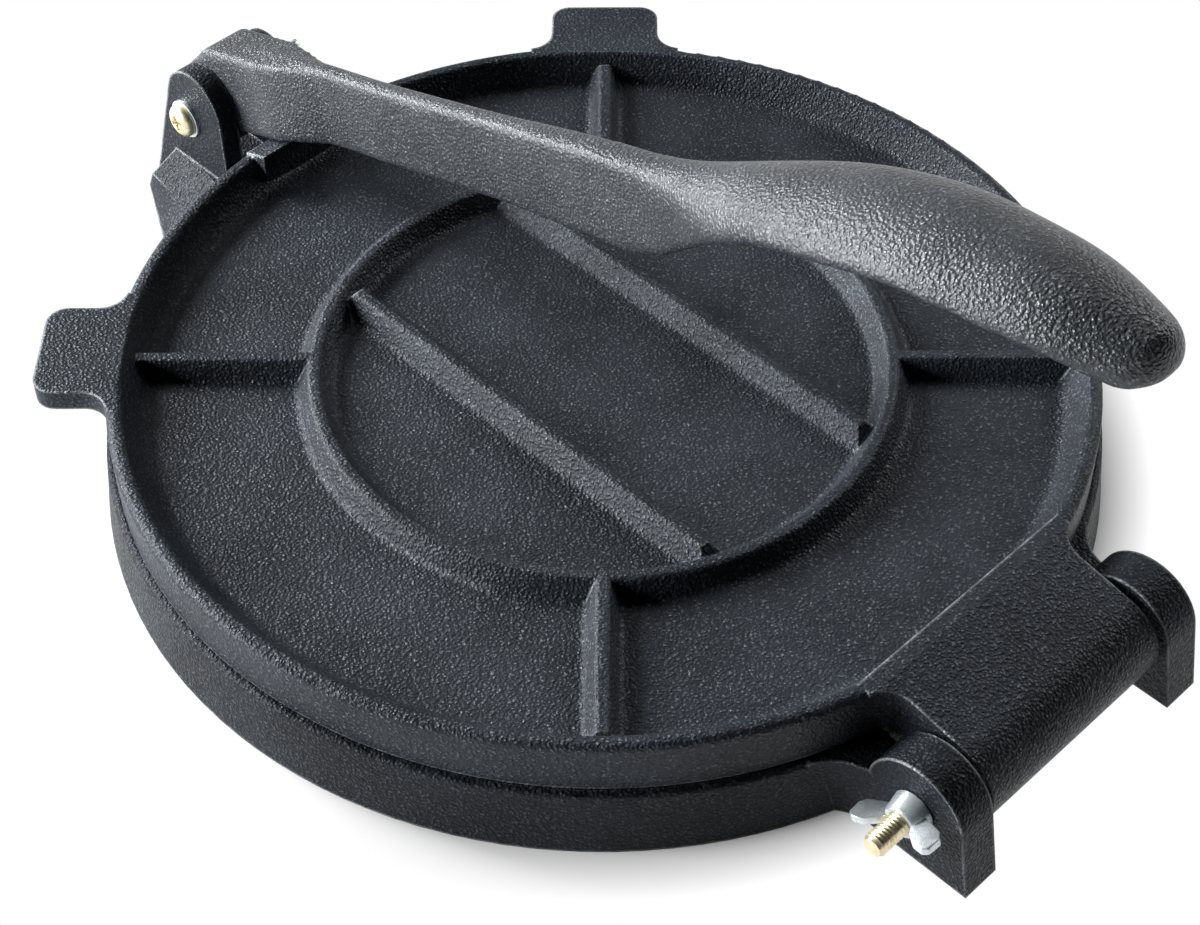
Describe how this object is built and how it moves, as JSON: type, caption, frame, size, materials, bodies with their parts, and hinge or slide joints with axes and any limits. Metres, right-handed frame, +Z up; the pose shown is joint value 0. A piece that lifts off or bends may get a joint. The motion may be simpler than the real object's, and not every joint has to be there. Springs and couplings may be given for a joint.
{
  "type": "tortilla press",
  "caption": "Round cast-iron tortilla press with a hinged ribbed lid, a cranked pressing lever, brass bolts and wing nuts.",
  "frame": {"origin": "centre of the round base, on the surface it stands on", "axes": "+Z up, +Y from the centre towards the lid's hinge (the lever's pivot is at -Y), +X along both bolts"},
  "size_m": [0.262, 0.3343, 0.1475],
  "materials": {
    "cast_iron_black": "seasoned, pebbled sand-cast skin, satin",
    "brass": "bright, lightly tarnished",
    "zinc": "zinc-plated steel, slightly blue"
  },
  "bodies": {
    "base": {"base": "cast_iron_black", "hinge_bolt": "brass", "hinge_washer": "zinc", "lever_bolt": "brass", "lever_washer": "zinc"},
    "lid": {"lid": "cast_iron_black"},
    "lever": {"lever": "cast_iron_black"},
    "hinge_nut": {"hinge_wing_nut": "zinc"},
    "lever_nut": {"lever_wing_nut": "zinc"}
  },
  "joints": [
    {"name": "lever_pivot", "type": "hinge", "parent": "base", "child": "lever", "pos_m": [0, -0.1545, 0.03], "axis": [1, 0, 0], "range_deg": [0, 150]},
    {"name": "lid_hinge", "type": "hinge", "parent": "base", "child": "lid", "pos_m": [0, 0.1425, 0.0175], "axis": [-1, 0, 0], "range_deg": [0, 105]},
    {"name": "hinge_nut_spin", "type": "hinge", "parent": "base", "child": "hinge_nut", "pos_m": [0.046, 0.1425, 0.0175], "axis": [1, 0, 0], "continuous": true},
    {"name": "lever_nut_spin", "type": "hinge", "parent": "base", "child": "lever_nut", "pos_m": [-0.017, -0.1545, 0.03], "axis": [-1, 0, 0], "continuous": true}
  ],
  "couplings": [
    {"joint": "lid_hinge", "follows": "lever_pivot", "ratio": 0.09}
  ]
}
